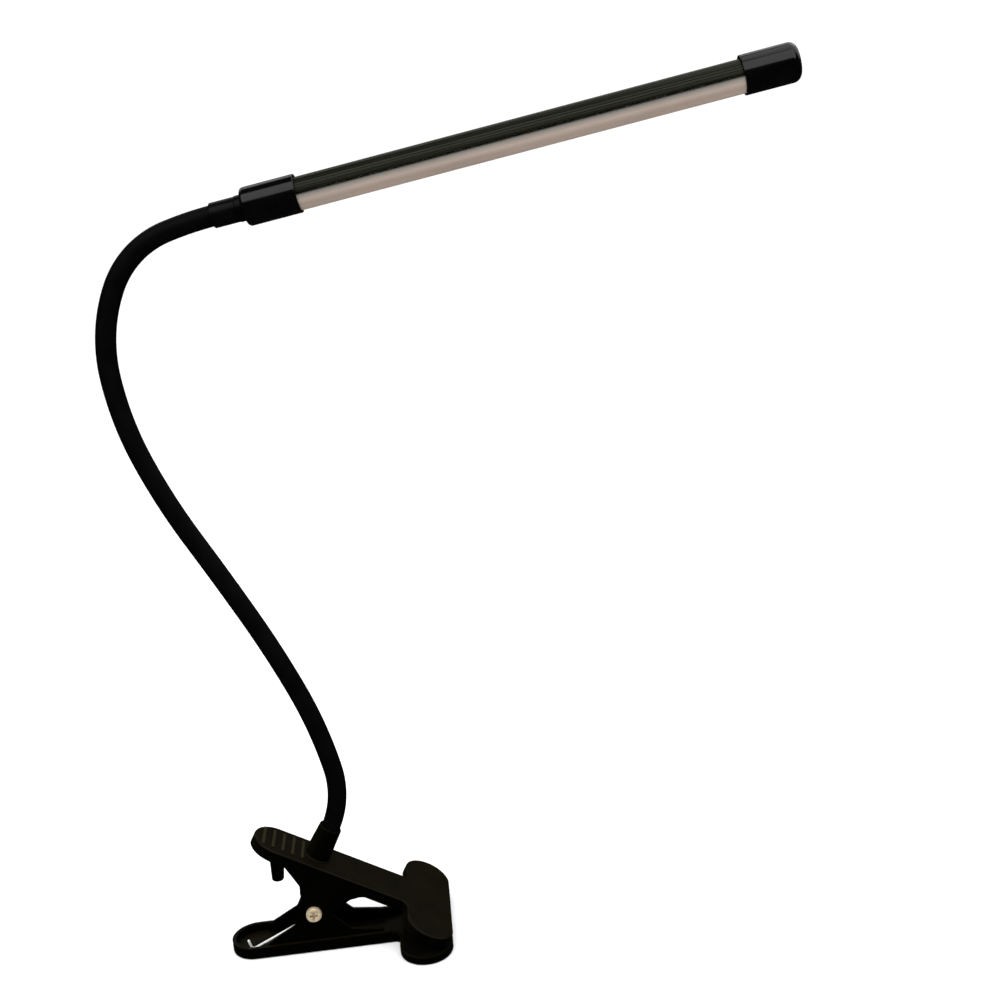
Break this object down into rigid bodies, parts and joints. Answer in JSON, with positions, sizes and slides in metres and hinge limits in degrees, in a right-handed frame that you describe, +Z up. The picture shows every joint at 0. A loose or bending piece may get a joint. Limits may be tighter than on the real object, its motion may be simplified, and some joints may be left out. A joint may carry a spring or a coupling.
{
  "type": "clip-on gooseneck bar light",
  "caption": "Bendable clip-on bar light: a spring clamp with wide padded jaws, a slim gooseneck, and a round bar head, half housing and half diffuser, between glossy end caps.",
  "frame": {"origin": "on the flat underside of the lower lever, straight below the clamp's pivot", "axes": "+X from the clamp's handles to its jaws, +Z up out of the underside, +Y along the pivot away from its screw head"},
  "size_m": [0.342, 0.076, 0.4393],
  "materials": {
    "clamp_plastic": "fine satin texture",
    "jaw_rubber": "matt",
    "neck_sleeve": "smooth matt sleeve",
    "neck_core": "wound steel",
    "lead": "insulated lead",
    "pivot_steel": "nickel plated",
    "spring_steel": "bright wire",
    "bush_plastic": "natural nylon",
    "ferrule": "black, satin",
    "cap_plastic": "glossy black",
    "housing_metal": "black anodised",
    "diffuser": "frosted, unlit",
    "board": "white circuit board",
    "chips": "phosphor"
  },
  "bodies": {
    "lower_lever": {"lower_lever": "clamp_plastic", "lower_jaw_pad": "jaw_rubber", "pivot_screw": "pivot_steel", "pivot_washer": "pivot_steel", "pivot_nut": "pivot_steel", "spring_bush": "bush_plastic", "torsion_spring": "spring_steel"},
    "upper_lever": {"upper_lever": "clamp_plastic", "upper_jaw_pad": "jaw_rubber", "cord_gland": "clamp_plastic", "base_lead": "lead", "neck_collar": "clamp_plastic", "neck_nipple": "pivot_steel", "neck_lock_washer": "pivot_steel", "neck_lock_nut": "pivot_steel", "neck_sleeve_1": "neck_sleeve", "neck_core_1": "neck_core", "neck_lead_1": "lead"},
    "neck_2": {"neck_sleeve_2": "neck_sleeve", "neck_core_2": "neck_core", "neck_lead_2": "lead"},
    "neck_3": {"neck_sleeve_3": "neck_sleeve", "neck_core_3": "neck_core", "neck_lead_3": "lead"},
    "neck_4": {"neck_sleeve_4": "neck_sleeve", "neck_core_4": "neck_core", "neck_lead_4": "lead"},
    "neck_5": {"neck_sleeve_5": "neck_sleeve", "neck_core_5": "neck_core", "neck_lead_5": "lead"},
    "neck_6": {"neck_sleeve_6": "neck_sleeve", "neck_core_6": "neck_core", "neck_lead_6": "lead"},
    "neck_7": {"neck_sleeve_7": "neck_sleeve", "neck_core_7": "neck_core", "neck_lead_7": "lead"},
    "neck_8": {"neck_sleeve_8": "neck_sleeve", "neck_core_8": "neck_core", "neck_lead_8": "lead"},
    "neck_9": {"neck_sleeve_9": "neck_sleeve", "neck_core_9": "neck_core", "neck_lead_9": "lead", "neck_ferrule": "ferrule", "swivel_clip": "pivot_steel"},
    "head": {"inner_end_cap": "cap_plastic", "outer_end_cap": "cap_plastic", "housing": "housing_metal", "diffuser": "diffuser", "led_board": "board", "led_chips": "chips", "head_lead": "lead"}
  },
  "joints": [
    {"name": "jaw_open", "type": "hinge", "parent": "lower_lever", "child": "upper_lever", "pos_m": [0, 0, 0.023], "axis": [0, -1, 0], "range_deg": [0, 42], "stiffness_Nm_per_rad": 0.55, "springref_deg": -62.45, "deforming": ["torsion_spring"]},
    {"name": "neck_bend_1", "type": "hinge", "parent": "upper_lever", "child": "neck_2", "pos_m": [0.01864, -0.0004, 0.09917], "axis": [-0.0785, -0.9969, 0], "range_deg": [-28, 28]},
    {"name": "neck_side_1", "type": "hinge", "parent": "neck_2", "child": "neck_3", "pos_m": [0.00554, 0.00063, 0.14483], "axis": [-0.9256, 0.0728, -0.3714], "range_deg": [-28, 28]},
    {"name": "neck_bend_2", "type": "hinge", "parent": "neck_3", "child": "neck_4", "pos_m": [-0.01353, 0.00213, 0.18731], "axis": [-0.0785, -0.9969, 0], "range_deg": [-28, 28]},
    {"name": "neck_side_2", "type": "hinge", "parent": "neck_4", "child": "neck_5", "pos_m": [-0.0354, 0.00385, 0.22955], "axis": [-0.8786, 0.0691, -0.4726], "range_deg": [-28, 28]},
    {"name": "neck_bend_3", "type": "hinge", "parent": "neck_5", "child": "neck_6", "pos_m": [-0.05391, 0.00531, 0.27115], "axis": [-0.0785, -0.9969, 0], "range_deg": [-28, 28]},
    {"name": "neck_side_3", "type": "hinge", "parent": "neck_6", "child": "neck_7", "pos_m": [-0.063, 0.00602, 0.31366], "axis": [-0.9941, 0.0782, -0.075], "range_deg": [-28, 28]},
    {"name": "neck_bend_4", "type": "hinge", "parent": "neck_7", "child": "neck_8", "pos_m": [-0.05432, 0.00534, 0.35683], "axis": [-0.0785, -0.9969, 0], "range_deg": [-28, 28]},
    {"name": "neck_side_4", "type": "hinge", "parent": "neck_8", "child": "neck_9", "pos_m": [-0.02579, 0.0031, 0.38072], "axis": [-0.2881, 0.0227, 0.9573], "range_deg": [-28, 28]},
    {"name": "head_swivel", "type": "hinge", "parent": "neck_9", "child": "head", "pos_m": [-0.00298, 0.0013, 0.386], "axis": [0.9841, -0.0775, 0.1599], "range_deg": [-90, 90]}
  ],
  "couplings": [
    {"joint": "neck_bend_2", "follows": "neck_bend_1", "ratio": 1},
    {"joint": "neck_side_2", "follows": "neck_side_1", "ratio": 1},
    {"joint": "neck_bend_4", "follows": "neck_bend_3", "ratio": 1},
    {"joint": "neck_side_4", "follows": "neck_side_3", "ratio": 1}
  ]
}
